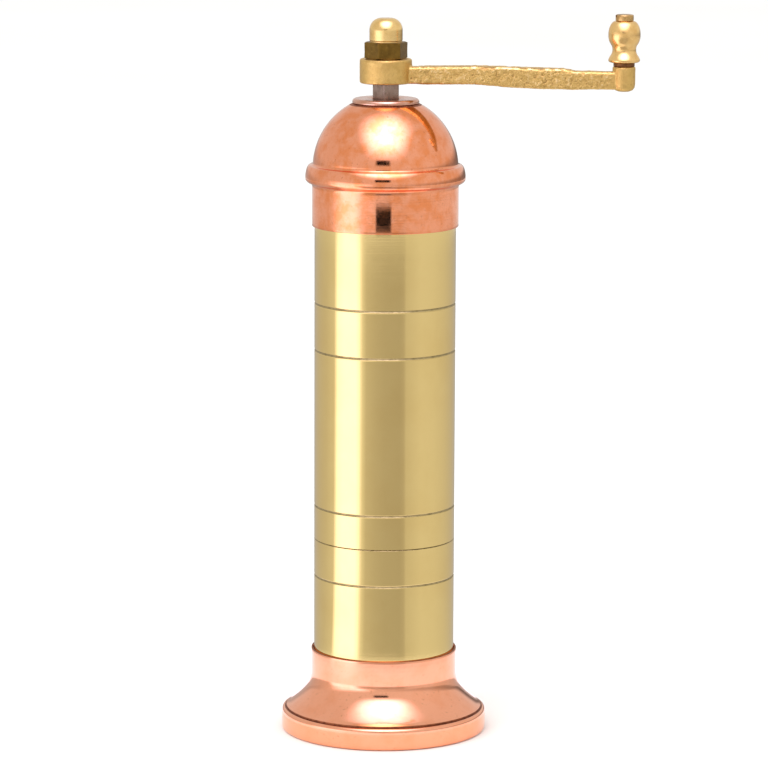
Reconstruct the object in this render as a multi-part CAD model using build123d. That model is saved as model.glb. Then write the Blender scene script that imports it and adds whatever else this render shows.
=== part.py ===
from build123d import *
import os
from math import cos, radians, sin, sqrt

# Tall hand coffee mill: a brass barrel that lifts off a brass grounds cup, a spun copper cap
# and foot, and a cast crank on a square drive shaft that turns a conical burr.
# Millimetres. The origin is the centre of the foot's underside, +Z is up and the crank
# points along +X.

# ---------------------------------------------------------------- driving dimensions
TUBE_R = 22.5            # outside of the barrel and of the grounds cup
TUBE_WALL = 1.0
BORE_R = TUBE_R - TUBE_WALL
SLIDE_GAP = 0.07         # radial gap of a part that slides or turns in another
FIXED_GAP = 0.02         # radial gap of a soldered or pressed part

FOOT_R = 32.9            # rim of the foot
FOOT_TOP_Z = 26.6        # top edge of the foot's neck
CUP_BOTTOM_Z = 15.5
SEAM_Z = 62.6            # where the barrel stands on the grounds cup
BARREL_TOP_Z = 180.0
CUP_RINGS_Z = (50.7,)                  # scribed lines round the cup
BARREL_RINGS_Z = (73.5, 123.9, 139.0)  # scribed lines round the barrel
RING_DEPTH = 0.22
RING_HALF_WIDTH = 0.36

SPIGOT_BOTTOM_Z = 51.0   # sleeve that centres the barrel in the cup
BURR_BOTTOM_Z = 72.5     # fixed burr
THROAT_Z = 80.5          # coarse teeth above, fine teeth below
BURR_TOP_Z = 90.0
BURR_SLOPE = 4 / 15      # radius gained for each mm of height below the throat
INNER_THROAT_R = 11.6    # tips of the turning burr at the throat
BURR_GAP = 0.6           # radial gap between the burrs at a medium grind
FINE_TEETH = 24
FINE_DEPTH = 0.9

BALL_R = 2.5             # thrust ball between adjusting screw and shaft
BALL_Z = 62.9
BALL_GAP = 0.02
SCREW_R = 4.0            # M8 adjusting screw
SHAFT_SIDE = 6.0         # square bar
SHAFT_TIP_R = 2.5        # M5 ends of the shaft
SHAFT_BOTTOM_Z = BALL_Z + BALL_R + BALL_GAP
SHAFT_TOP_Z = 226.0
SHOULDER_Z = 208.9       # the crank's boss stands on this shoulder of the shaft
NECK_SIDE = 5.0          # square inside the crank's boss
NECK_TOP_Z = 216.0

BRIDGE_Z = 168.5         # underside of the upper bearing strap
BRIDGE_THICK = 2.0
BUSH_R = 5.5

SKIRT_BOTTOM_Z = 163.5
SKIRT_R = 23.3
DOME_R = 23.15
DOME_INNER_R = 21.9
DOME_Z = 181.9           # centre of the dome's sphere
SHELF_Z = 202.4          # flat on the dome that carries the collar
COLLAR_TOP_Z = 204.1
COLLAR_R = 10.6
SHAFT_HOLE_R = 4.5

BOSS_R = 8.3
BOSS_TOP_Z = 216.6
CRANK_R = 75.2           # from shaft axis to knob axis
POST_R = 3.6
POST_TOP_Z = 215.15
KNOB_BOTTOM_Z = 216.45
KNOB_TOP_Z = 229.4
PIN_R = 2.0
NUT_FLATS = 12.0
HEX_TOP_Z = 221.9
NUT_TOP_Z = 229.45


# ---------------------------------------------------------------- helpers
def turned(*edges):
    """Solid of revolution about Z from edges that close an outline of (radius, height)."""
    return revolve(Plane.XZ * make_face(edges), Axis.Z)


def ring(inner_r, outer_r, low_z, high_z):
    return turned(Polyline((inner_r, low_z), (outer_r, low_z), (outer_r, high_z),
                           (inner_r, high_z), close=True))


def rod(radius, low_z, high_z, x=0, y=0):
    return Pos(x, y, (low_z + high_z) / 2) * Cylinder(radius, high_z - low_z)


def square_bar(side, low_z, high_z):
    """Square bar on the Z axis with its corners towards X and Y."""
    return Pos(0, 0, (low_z + high_z) / 2) * Rot(0, 0, 45) * Box(side, side, high_z - low_z)


def star(teeth, tip_r, root_r, z, turn=0.0):
    """Flat saw-tooth outline at height z, turned by that many degrees about Z."""
    step = radians(180 / teeth)
    corners = []
    for corner in range(2 * teeth):
        radius = root_r if corner % 2 else tip_r
        angle = corner * step + radians(turn)
        corners.append((radius * cos(angle), radius * sin(angle)))
    return Pos(0, 0, z) * make_face(Polyline(*corners, close=True))


def scribed_tube(low_z, high_z, ring_heights):
    """Tube with V lines turned round the outside and its seam edges broken."""
    tube = ring(BORE_R, TUBE_R, low_z, high_z)
    for height in ring_heights:
        tube -= turned(Polyline((TUBE_R - RING_DEPTH, height),
                                (TUBE_R + RING_DEPTH, height - 2 * RING_HALF_WIDTH),
                                (TUBE_R + RING_DEPTH, height + 2 * RING_HALF_WIDTH), close=True))
    return tube


# ---------------------------------------------------------------- foot and grounds cup
def foot_shell():
    neck_r = TUBE_R + FIXED_GAP + 0.83
    inner_r = TUBE_R + FIXED_GAP
    groove = (31.7, 7.4)
    outside = [
        Line((inner_r + 0.35, FOOT_TOP_Z), (neck_r - 0.2, FOOT_TOP_Z)),
        Line((neck_r - 0.2, FOOT_TOP_Z), (neck_r, FOOT_TOP_Z - 0.2)),
        Line((neck_r, FOOT_TOP_Z - 0.2), (neck_r, 17.2)),
        ThreePointArc((neck_r, 17.2), (23.55, 16.1), (24.1, 15.1)),
        ThreePointArc((24.1, 15.1), (27.5, 10.9), (32.0, 7.9)),
        Line((32.0, 7.9), groove),
        Line(groove, (32.2, 7.0)),
        ThreePointArc((32.2, 7.0), (32.7, 6.75), (FOOT_R, 6.2)),
        Line((FOOT_R, 6.2), (FOOT_R, 0.7)),
        ThreePointArc((FOOT_R, 0.7), (FOOT_R - 0.2, 0.2), (FOOT_R - 0.7, 0)),
        Line((FOOT_R - 0.7, 0), (29.9, 0)),
    ]
    inside = [
        Line((29.9, 0), (29.9, 1.0)),
        Line((29.9, 1.0), (31.9, 1.0)),
        Line((31.9, 1.0), (31.9, 6.0)),
        Line((31.9, 6.0), (31.0, 6.8)),
        ThreePointArc((31.0, 6.8), (26.8, 10.2), (23.3, 14.6)),
        Line((23.3, 14.6), (inner_r, 16.8)),
        Line((inner_r, 16.8), (inner_r, FOOT_TOP_Z - 0.35)),
        Line((inner_r, FOOT_TOP_Z - 0.35), (inner_r + 0.35, FOOT_TOP_Z)),
    ]
    return turned(*outside, *inside)


def base_plate():
    """Plate that closes the foot, held by the rim's turned-in lip and flush with its underside."""
    return turned(Polyline((0, 0), (29.8, 0), (29.8, 1.02), (31.85, 1.02), (31.85, 1.7),
                           (31.5, 2.0), (0, 2.0), close=True))


def grounds_cup():
    cup = scribed_tube(CUP_BOTTOM_Z, SEAM_Z, CUP_RINGS_Z)
    return chamfer(cup.edges().group_by(Axis.Z)[-1].sort_by(SortBy.RADIUS)[-1], 0.2)


def cup_floor():
    return rod(BORE_R - FIXED_GAP, CUP_BOTTOM_Z + 0.5, CUP_BOTTOM_Z + 1.5)


# ---------------------------------------------------------------- barrel and fixed burr
RIVET_Z = 165.7
RIVET_R = 1.5
BURR_SCREW_X = 17.8
BURR_SCREW_R = 1.5


def barrel_tube():
    tube = scribed_tube(SEAM_Z, BARREL_TOP_Z, BARREL_RINGS_Z)
    tube = chamfer(tube.edges().group_by(Axis.Z)[0].sort_by(SortBy.RADIUS)[-1], 0.2)
    return tube - Pos(0, 0, RIVET_Z) * Rot(90, 0, 0) * Cylinder(RIVET_R + FIXED_GAP, 60)


def joint_sleeve():
    """Spigot ring soldered in the barrel; its lower half slides in the cup."""
    slide_r = BORE_R - SLIDE_GAP
    fixed_r = BORE_R - FIXED_GAP
    inner_r = 20.6
    return turned(Polyline((inner_r, SPIGOT_BOTTOM_Z), (slide_r - 0.4, SPIGOT_BOTTOM_Z),
                           (slide_r, SPIGOT_BOTTOM_Z + 0.8), (slide_r, SEAM_Z), (fixed_r, SEAM_Z),
                           (fixed_r, BURR_BOTTOM_Z), (inner_r, BURR_BOTTOM_Z), close=True))


def fine_tip_r(z, throat_r):
    return throat_r + (THROAT_Z - z) * BURR_SLOPE


def fine_teeth(throat_r, depth, low_z):
    """Lofted band of slanting fine teeth from low_z up to the throat."""
    steps = 4
    sections = []
    for step in range(steps + 1):
        z = low_z + (THROAT_Z - low_z) * step / steps
        tip_r = fine_tip_r(z, throat_r)
        sections.append(star(FINE_TEETH, tip_r, tip_r - depth, z, 2.6 * step))
    return loft(sections, ruled=True)


def coarse_teeth(teeth, bottom, top, high_z, slant):
    """Lofted band of slanting coarse teeth; bottom and top are (tip radius, root radius)."""
    steps = 4
    sections = []
    for step in range(steps + 1):
        share = step / steps
        tip_r = bottom[0] + (top[0] - bottom[0]) * share
        root_r = bottom[1] + (top[1] - bottom[1]) * share
        z = THROAT_Z + (high_z - THROAT_Z) * share
        sections.append(star(teeth, tip_r, root_r, z, slant * share))
    return loft(sections, ruled=True)


def outer_burr():
    throat_r = INNER_THROAT_R + BURR_GAP
    burr = rod(BORE_R - FIXED_GAP, BURR_BOTTOM_Z, BURR_TOP_Z)
    burr -= fine_teeth(throat_r + FINE_DEPTH, FINE_DEPTH, BURR_BOTTOM_Z)
    burr -= coarse_teeth(8, (throat_r + 1.6, throat_r), (20.2, 17.6), BURR_TOP_Z, -30)
    for side in (-1, 1):
        burr -= rod(BURR_SCREW_R + FIXED_GAP, BURR_BOTTOM_Z, 79.0, x=side * BURR_SCREW_X)
    return burr


def lower_bridge():
    """Cast bridge screwed under the fixed burr; its middle boss holds the adjusting screw."""
    half_width = 4.0
    leg_outer = 20.2
    bar_low, bar_high = 60.0, 63.0
    leg_inner = 15.7
    section = Polyline((-leg_outer, bar_low), (leg_outer, bar_low), (leg_outer, BURR_BOTTOM_Z),
                       (leg_inner, BURR_BOTTOM_Z), (leg_inner - 1.2, bar_high),
                       (1.2 - leg_inner, bar_high), (-leg_inner, BURR_BOTTOM_Z),
                       (-leg_outer, BURR_BOTTOM_Z), close=True)
    bridge = extrude(Plane.XZ * make_face(section), half_width, both=True)
    bridge &= rod(20.3, bar_low, BURR_BOTTOM_Z)
    bridge += rod(7.0, 57.0, bar_high)
    bridge -= rod(SCREW_R + 0.05, 50, 70)
    for side in (-1, 1):
        bridge -= rod(BURR_SCREW_R + FIXED_GAP, bar_low, BURR_BOTTOM_Z, x=side * BURR_SCREW_X)
    return bridge


def bridge_screws():
    """The two screws that hold the lower bridge to the fixed burr."""
    screws = Part()
    head_low, head_high = 57.6, 60.0
    for side in (-1, 1):
        x = side * BURR_SCREW_X
        head = chamfer(rod(2.4, head_low, head_high, x).edges().sort_by(Axis.Z)[0], 0.4)
        head -= Pos(x, 0, head_low + 0.4) * Box(0.7, 6, 0.8)
        screws += head + rod(BURR_SCREW_R, head_high, 78.5, x)
    return screws


def top_bridge():
    """Strap across the barrel with an eye for the shaft bush and a riveted tab at each end."""
    half_width = 5.0
    top_z = BRIDGE_Z + BRIDGE_THICK
    outer_r = BORE_R - FIXED_GAP
    strap = Pos(0, 0, (BRIDGE_Z + top_z) / 2) * Box(2 * half_width, 2 * BORE_R, BRIDGE_THICK)
    strap &= rod(outer_r, BRIDGE_Z, top_z)
    tab_low_z = 161.0
    tabs = ring(20.0, outer_r, tab_low_z, top_z)
    tabs &= Pos(0, 0, (tab_low_z + top_z) / 2) * Box(2 * half_width, 60, 20)
    bridge = strap + tabs + rod(9.0, BRIDGE_Z, top_z)
    bridge -= rod(BUSH_R + SLIDE_GAP, 150, 190)
    return bridge - Pos(0, 0, RIVET_Z) * Rot(90, 0, 0) * Cylinder(RIVET_R + FIXED_GAP, 60)


def bridge_rivets():
    """Rivets through barrel and tabs, flush outside so that the cap slides over them."""
    rivets = Part()
    for side in (-1, 1):
        shank = Pos(0, side * 21.2, RIVET_Z) * Rot(90, 0, 0) * Cylinder(RIVET_R, 3.4)
        head = Pos(0, side * 19.35, RIVET_Z) * Rot(90, 0, 0) * Cylinder(2.6, 0.9)
        rivets += (shank + head) & rod(TUBE_R, 150, 180)
    return rivets


# ---------------------------------------------------------------- grind adjustment
def thrust_ball():
    return Pos(0, 0, BALL_Z) * Sphere(BALL_R)


def adjusting_screw():
    """Serrated thumb screw under the lower bridge, with a drilled seat for the ball in its tip."""
    head_low, head_high = 45.0, 49.8
    head_r = 8.5
    wheel = extrude(star(30, head_r, head_r - 0.45, head_low), head_high - head_low)
    wheel &= turned(Polyline((0, head_low), (head_r - 1, head_low), (head_r + 0.1, head_low + 1.1),
                             (head_r + 0.1, head_high - 1.1), (head_r - 1, head_high),
                             (0, head_high), close=True))
    wheel -= Pos(0, 0, head_low + 0.6) * Box(1.4, 30, 1.2)
    screw = wheel + rod(SCREW_R, head_high, 61.6)
    return screw - rod(BALL_R + 0.1, BALL_Z - BALL_R - BALL_GAP, 61.6)


# ---------------------------------------------------------------- turning parts
BURR_LOW_Z = 71.0
TEETH_LOW_Z = 73.0
BURR_HIGH_Z = 92.5
BURR_PIN_Z = 94.2
COLLAR_LOW_Z = 147.5
COLLAR_PIN_Z = 146.4
CROSS_PIN_R = 1.0
WASHER_THICK = 1.0
BURR_NUT_FLATS = 8.0


def drive_shaft():
    shaft = square_bar(SHAFT_SIDE, BURR_LOW_Z + 0.3, SHOULDER_Z)
    shaft += square_bar(NECK_SIDE, SHOULDER_Z, NECK_TOP_Z)
    shaft += rod(SHAFT_TIP_R, SHAFT_BOTTOM_Z, BURR_LOW_Z + 0.3)
    shaft += rod(SHAFT_TIP_R, NECK_TOP_Z, SHAFT_TOP_Z)
    shaft = chamfer(shaft.edges().sort_by(Axis.Z)[-1], 0.5)
    for height in (BURR_PIN_Z, COLLAR_PIN_Z):
        shaft -= Pos(0, 0, height) * Rot(0, 90, 0) * Cylinder(CROSS_PIN_R + FIXED_GAP, 20)
    return shaft


def inner_burr():
    throat_tips = (INNER_THROAT_R, INNER_THROAT_R - 3.0)
    burr = fine_teeth(INNER_THROAT_R, FINE_DEPTH, TEETH_LOW_Z)
    burr += coarse_teeth(6, throat_tips, (7.2, 5.4), BURR_HIGH_Z, 40)
    burr += rod(12.4, BURR_LOW_Z, TEETH_LOW_Z)
    return burr - square_bar(SHAFT_SIDE + 2 * FIXED_GAP, BURR_LOW_Z, BURR_HIGH_Z)


def burr_washer():
    return ring(SHAFT_TIP_R + FIXED_GAP, 5.6, BURR_LOW_Z - WASHER_THICK, BURR_LOW_Z)


def burr_nut():
    high_z = BURR_LOW_Z - WASHER_THICK
    low_z = high_z - 4.0
    corner_r = BURR_NUT_FLATS / sqrt(3)
    nut = Pos(0, 0, low_z) * extrude(RegularPolygon(corner_r, 6), high_z - low_z)
    nut &= turned(Polyline((0, low_z), (4.1, low_z), (corner_r + 0.1, low_z + 0.4),
                           (corner_r + 0.1, high_z), (0, high_z), close=True))
    return nut - rod(SHAFT_TIP_R + FIXED_GAP, low_z, high_z)


def cross_pins():
    """Pins through the shaft: one over the turning burr, one under the spring collar."""
    return Part() + [Pos(0, 0, height) * Rot(0, 90, 0) * Cylinder(CROSS_PIN_R, 11)
                     for height in (BURR_PIN_Z, COLLAR_PIN_Z)]


def spring_collar():
    collar = rod(8.2, COLLAR_LOW_Z, COLLAR_LOW_Z + 2.5)
    return collar - square_bar(SHAFT_SIDE + 2 * FIXED_GAP, COLLAR_LOW_Z, COLLAR_LOW_Z + 2.5)


def pressure_spring():
    """Coil spring between the collar and the upper bridge; it presses the shaft down."""
    wire_r = 0.5
    coil_r = 6.9
    turns = 6
    low_z = COLLAR_LOW_Z + 2.5 + wire_r + 0.05
    height = BRIDGE_Z - wire_r - 0.05 - low_z
    path = Pos(0, 0, low_z) * Helix(height / turns, height, coil_r)
    return sweep((path ^ 0) * Circle(wire_r), path=path, is_frenet=True)


def shaft_bush():
    bush = rod(BUSH_R, BRIDGE_Z - 1, BRIDGE_Z + BRIDGE_THICK + 3.5)
    return bush - square_bar(SHAFT_SIDE + 2 * FIXED_GAP, 160, 180)


# ---------------------------------------------------------------- cap
def cap_shell():
    """Spun cap: skirt over the barrel, bead, and dome with a flat for the collar."""
    bore_r = TUBE_R + SLIDE_GAP
    shelf_r = sqrt(DOME_R ** 2 - (SHELF_Z - DOME_Z) ** 2)
    dome_foot_z = 183.2
    dome_foot_r = sqrt(DOME_R ** 2 - (dome_foot_z - DOME_Z) ** 2)
    shelf_low_z = SHELF_Z - 1.2
    inner_shelf_r = sqrt(DOME_INNER_R ** 2 - (shelf_low_z - DOME_Z) ** 2)
    outer_turn = radians(45)
    outside = [
        Line((bore_r, SKIRT_BOTTOM_Z), (SKIRT_R - 0.15, SKIRT_BOTTOM_Z)),
        Line((SKIRT_R - 0.15, SKIRT_BOTTOM_Z), (SKIRT_R, SKIRT_BOTTOM_Z + 0.15)),
        Line((SKIRT_R, SKIRT_BOTTOM_Z + 0.15), (SKIRT_R, 175.2)),
        ThreePointArc((SKIRT_R, 175.2), (23.6, 176.3), (24.5, 177.0)),
        ThreePointArc((24.5, 177.0), (25.5, 179.9), (24.6, 182.4)),
        Line((24.6, 182.4), (dome_foot_r, dome_foot_z)),
        ThreePointArc((dome_foot_r, dome_foot_z),
                      (DOME_R * cos(outer_turn), DOME_Z + DOME_R * sin(outer_turn)),
                      (shelf_r, SHELF_Z)),
        Line((shelf_r, SHELF_Z), (6.0, SHELF_Z)),
    ]
    inside = [
        Line((6.0, SHELF_Z), (6.0, shelf_low_z)),
        Line((6.0, shelf_low_z), (inner_shelf_r, shelf_low_z)),
        ThreePointArc((inner_shelf_r, shelf_low_z),
                      (DOME_INNER_R * cos(outer_turn), DOME_Z + DOME_INNER_R * sin(outer_turn)),
                      (DOME_INNER_R, DOME_Z)),
        Line((DOME_INNER_R, DOME_Z), (DOME_INNER_R, BARREL_TOP_Z + 0.05)),
        Line((DOME_INNER_R, BARREL_TOP_Z + 0.05), (bore_r, BARREL_TOP_Z + 0.05)),
        Line((bore_r, BARREL_TOP_Z + 0.05), (bore_r, SKIRT_BOTTOM_Z)),
    ]
    return turned(*outside, *inside)


def cap_collar():
    """Round-edged collar on the dome's flat, with a spigot that lines the shaft hole."""
    spigot_r = 6.0 - FIXED_GAP
    spigot_z = SHELF_Z - 1.2
    edge = 1.2
    return turned(
        Line((SHAFT_HOLE_R, spigot_z), (spigot_r, spigot_z)),
        Line((spigot_r, spigot_z), (spigot_r, SHELF_Z)),
        Line((spigot_r, SHELF_Z), (COLLAR_R - 0.5, SHELF_Z)),
        Line((COLLAR_R - 0.5, SHELF_Z), (COLLAR_R, COLLAR_TOP_Z - edge)),
        ThreePointArc((COLLAR_R, COLLAR_TOP_Z - edge), (COLLAR_R - 0.35, COLLAR_TOP_Z - 0.35),
                      (COLLAR_R - edge, COLLAR_TOP_Z)),
        Line((COLLAR_R - edge, COLLAR_TOP_Z), (SHAFT_HOLE_R, COLLAR_TOP_Z)),
        Line((SHAFT_HOLE_R, COLLAR_TOP_Z), (SHAFT_HOLE_R, spigot_z)),
    )


# ---------------------------------------------------------------- crank, knob and nut
def crank_arm():
    """Cast crank: round boss, arm with a slight belly, and a post for the knob."""
    boss = rod(BOSS_R, SHOULDER_Z, BOSS_TOP_Z)
    boss = chamfer(boss.edges().filter_by(GeomType.CIRCLE), 0.4)
    side_view = make_face([
        Spline((4, 208.9), (30, 209.0), (44, 208.0), (CRANK_R, 207.9)),
        Line((CRANK_R, 207.9), (CRANK_R, 213.5)),
        Spline((CRANK_R, 213.5), (60, 213.6), (55, 214.2), (30, 214.6), (4, 214.3)),
        Line((4, 214.3), (4, 208.9)),
    ])
    plan_view = make_face(Polyline((4, -3.3), (CRANK_R, -2.7), (CRANK_R, 2.7), (4, 3.3), close=True))
    arm = extrude(Plane.XZ * side_view, 5, both=True) & (Pos(0, 0, 200) * extrude(plan_view, 30))
    arm = fillet(arm.edges().filter_by(lambda edge: edge.length > 30), 0.8)
    post = rod(POST_R, 207.5, POST_TOP_Z, x=CRANK_R)
    post = fillet(post.edges().sort_by(Axis.Z)[0], 2.2)
    crank = boss + arm + post
    crank -= square_bar(NECK_SIDE + 0.05, 200, 220)
    return crank - rod(PIN_R + FIXED_GAP, 209.4, 220, x=CRANK_R)


def knob_washer():
    return Pos(CRANK_R, 0, 0) * ring(PIN_R + FIXED_GAP, 3.35, POST_TOP_Z, KNOB_BOTTOM_Z - 0.05)


def knob_screw():
    """Slotted shoulder screw that is the knob's axle, screwed into the crank's post."""
    head_low = KNOB_TOP_Z + 0.05
    head_high = 231.5
    head = rod(2.85, head_low, head_high, x=CRANK_R)
    head = chamfer(head.edges().sort_by(Axis.Z)[-1], 0.3)
    head -= Pos(CRANK_R, 0, head_high) * Rot(0, 0, 25) * Box(0.9, 8, 1.8)
    return head + rod(PIN_R, 209.5, head_low, x=CRANK_R)


def crank_knob():
    """Turned knob: base flange, waist and ball, free to spin on its screw."""
    bore_r = PIN_R + 0.06
    return Pos(CRANK_R, 0, 0) * turned(
        Line((bore_r, KNOB_BOTTOM_Z), (4.4, KNOB_BOTTOM_Z)),
        Line((4.4, KNOB_BOTTOM_Z), (4.95, 217.0)),
        Line((4.95, 217.0), (4.85, 217.9)),
        ThreePointArc((4.85, 217.9), (3.95, 220.0), (4.2, 222.2)),
        ThreePointArc((4.2, 222.2), (5.05, 225.5), (2.9, KNOB_TOP_Z)),
        Line((2.9, KNOB_TOP_Z), (bore_r, KNOB_TOP_Z)),
        Line((bore_r, KNOB_TOP_Z), (bore_r, KNOB_BOTTOM_Z)),
    )


def acorn_nut():
    """Hexagon with a turned dome, drilled from below for the end of the shaft."""
    corner_r = NUT_FLATS / sqrt(3)
    outline = Pos(0, 0, BOSS_TOP_Z) * RegularPolygon(corner_r, 6, rotation=17)
    hexagon = extrude(outline, HEX_TOP_Z - BOSS_TOP_Z)
    hexagon &= turned(Polyline((0, BOSS_TOP_Z), (5.9, BOSS_TOP_Z), (corner_r + 0.1, BOSS_TOP_Z + 0.7),
                               (corner_r + 0.1, HEX_TOP_Z - 0.45), (6.2, HEX_TOP_Z),
                               (0, HEX_TOP_Z), close=True))
    dome = turned(
        Line((0, HEX_TOP_Z), (4.7, HEX_TOP_Z)),
        Line((4.7, HEX_TOP_Z), (5.25, 223.0)),
        Line((5.25, 223.0), (5.25, 226.3)),
        ThreePointArc((5.25, 226.3), (4.35, 228.5), (2.2, NUT_TOP_Z)),
        Line((2.2, NUT_TOP_Z), (0, NUT_TOP_Z)),
        Line((0, NUT_TOP_Z), (0, HEX_TOP_Z)),
    )
    return hexagon + dome - rod(SHAFT_TIP_R + 0.05, BOSS_TOP_Z, 227.0)


PARTS = (
    foot_shell, base_plate, grounds_cup, cup_floor,
    barrel_tube, joint_sleeve, outer_burr, lower_bridge, bridge_screws, top_bridge,
    bridge_rivets, pressure_spring,
    thrust_ball, adjusting_screw,
    drive_shaft, inner_burr, burr_washer, burr_nut, cross_pins, spring_collar, shaft_bush,
    cap_shell, cap_collar,
    crank_arm, knob_washer, knob_screw, crank_knob, acorn_nut,
)

os.makedirs("parts", exist_ok=True)
for make_part in PARTS:
    export_step(make_part(), f"parts/{make_part.__name__}.step")
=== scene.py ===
from math import atan2, cos, hypot, pi, radians, sin, sqrt

import bmesh
import bpy
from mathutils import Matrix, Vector, noise


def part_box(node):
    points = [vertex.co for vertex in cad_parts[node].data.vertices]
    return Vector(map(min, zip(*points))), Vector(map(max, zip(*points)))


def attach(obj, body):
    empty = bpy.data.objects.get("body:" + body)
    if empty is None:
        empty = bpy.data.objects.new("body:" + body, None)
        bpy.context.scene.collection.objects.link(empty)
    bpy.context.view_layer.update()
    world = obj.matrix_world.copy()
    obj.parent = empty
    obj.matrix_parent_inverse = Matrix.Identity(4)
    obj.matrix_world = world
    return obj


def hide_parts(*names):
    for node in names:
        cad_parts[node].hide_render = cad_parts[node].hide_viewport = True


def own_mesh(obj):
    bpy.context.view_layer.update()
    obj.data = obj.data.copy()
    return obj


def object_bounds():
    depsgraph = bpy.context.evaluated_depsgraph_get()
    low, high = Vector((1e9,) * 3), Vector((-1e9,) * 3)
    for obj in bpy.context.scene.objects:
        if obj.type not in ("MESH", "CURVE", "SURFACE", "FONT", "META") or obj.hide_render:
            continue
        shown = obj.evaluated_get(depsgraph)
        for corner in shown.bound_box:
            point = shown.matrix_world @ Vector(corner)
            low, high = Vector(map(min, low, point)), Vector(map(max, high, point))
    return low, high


# A tall brass and copper coffee mill. The visible turned, spun and cast pieces, the thumb screw
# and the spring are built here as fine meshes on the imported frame; the burrs, bridges and small
# fittings inside are the frame's own nodes with worn-metal materials. Sizes are in millimetres
# where nothing else is said, and outlines are (radius, height).

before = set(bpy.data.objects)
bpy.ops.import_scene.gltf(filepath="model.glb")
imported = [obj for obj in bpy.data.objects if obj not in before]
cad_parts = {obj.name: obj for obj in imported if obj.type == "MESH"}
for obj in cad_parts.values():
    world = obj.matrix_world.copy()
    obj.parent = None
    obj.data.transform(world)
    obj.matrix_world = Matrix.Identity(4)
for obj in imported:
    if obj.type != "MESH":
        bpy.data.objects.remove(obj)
cad_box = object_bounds()

MM = 0.001
ROUND = 256               # points round a large turned piece
SMALL_ROUND = 96          # points round a small one
CAMERA_TURN = 6.5         # degrees the camera stands to the right of the mill's front
CAMERA_RISE = 9.53        # degrees above the horizon
CAMERA_ROLL = 0.22        # degrees the picture leans to the right
CAMERA_DISTANCE = 1.318   # metres
CAMERA_LENS = 193.1       # millimetres on a 36 mm sensor
CAMERA_TARGET = (0, 0, 0.1124)     # metres
CAMERA_SHIFT = -0.0009    # of the picture's width
MIDDLE = (0, 0, (cad_box[0][2] + cad_box[1][2]) / 2)   # metres


def round_size(node):
    """Radius, bottom and top of a round CAD node, in millimetres."""
    low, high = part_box(node)
    return (high[1] - low[1]) / 2 / MM, low[2] / MM, high[2] / MM


TUBE_R = round_size("barrel_tube")[0]
KNOB_X = (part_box("crank_knob")[0][0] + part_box("crank_knob")[1][0]) / 2 / MM
SHAFT_SQUARE = 6.0        # across the flats
NECK_SQUARE = 5.0         # the smaller square that carries the crank
SQUARE_TURN = 45          # degrees
SHAFT_PITCH = 0.8
ADJUSTER_PITCH = 1.25


# ------------------------------------------------------------------------------ materials
def node(tree, kind, **sockets):
    """New shader node with its inputs set to values, or linked where an output is given."""
    made = tree.nodes.new(kind)
    for name, value in sockets.items():
        socket = made.inputs[name.replace("_", " ")]
        if isinstance(value, bpy.types.NodeSocket):
            tree.links.new(value, socket)
        else:
            socket.default_value = value
    return made


def turned_place(tree, where, centre):
    """Coordinates whose noise runs in rings round an upright axis: (radius, height, 0)."""
    parts = node(tree, "ShaderNodeSeparateXYZ", Vector=where)
    flat = node(tree, "ShaderNodeCombineXYZ", X=parts.outputs["X"], Y=parts.outputs["Y"])
    shift = tree.nodes.new("ShaderNodeVectorMath")
    shift.operation = "SUBTRACT"
    tree.links.new(flat.outputs[0], shift.inputs[0])
    shift.inputs[1].default_value = (centre * MM, 0, 0)
    reach = tree.nodes.new("ShaderNodeVectorMath")
    reach.operation = "LENGTH"
    tree.links.new(shift.outputs[0], reach.inputs[0])
    joined = node(tree, "ShaderNodeCombineXYZ", X=reach.outputs["Value"], Y=parts.outputs["Z"])
    return joined.outputs[0]


def noise_value(tree, where, size, detail, roughness=0.55):
    """Noise from 0 to 1 whose patches are about that many millimetres across."""
    made = node(tree, "ShaderNodeTexNoise", Vector=where, Scale=1 / (size * MM), Detail=detail,
                Roughness=roughness)
    return made.outputs["Fac"]


def spread(tree, value, low, high, from_low=0.3, from_high=0.7):
    """Maps from_low to low and from_high to high, and holds both ends."""
    made = tree.nodes.new("ShaderNodeMapRange")
    for name, number in (("From Min", from_low), ("From Max", from_high), ("To Min", low),
                         ("To Max", high)):
        made.inputs[name].default_value = number
    tree.links.new(value, made.inputs["Value"])
    return made.outputs["Result"]


def blend_colour(tree, share, first, second):
    made = tree.nodes.new("ShaderNodeMix")
    made.data_type = "RGBA"
    tree.links.new(share, made.inputs["Factor"])
    for socket, value in ((made.inputs["A"], first), (made.inputs["B"], second)):
        if isinstance(value, bpy.types.NodeSocket):
            tree.links.new(value, socket)
        else:
            socket.default_value = (*value, 1)
    return made.outputs["Result"]


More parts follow.
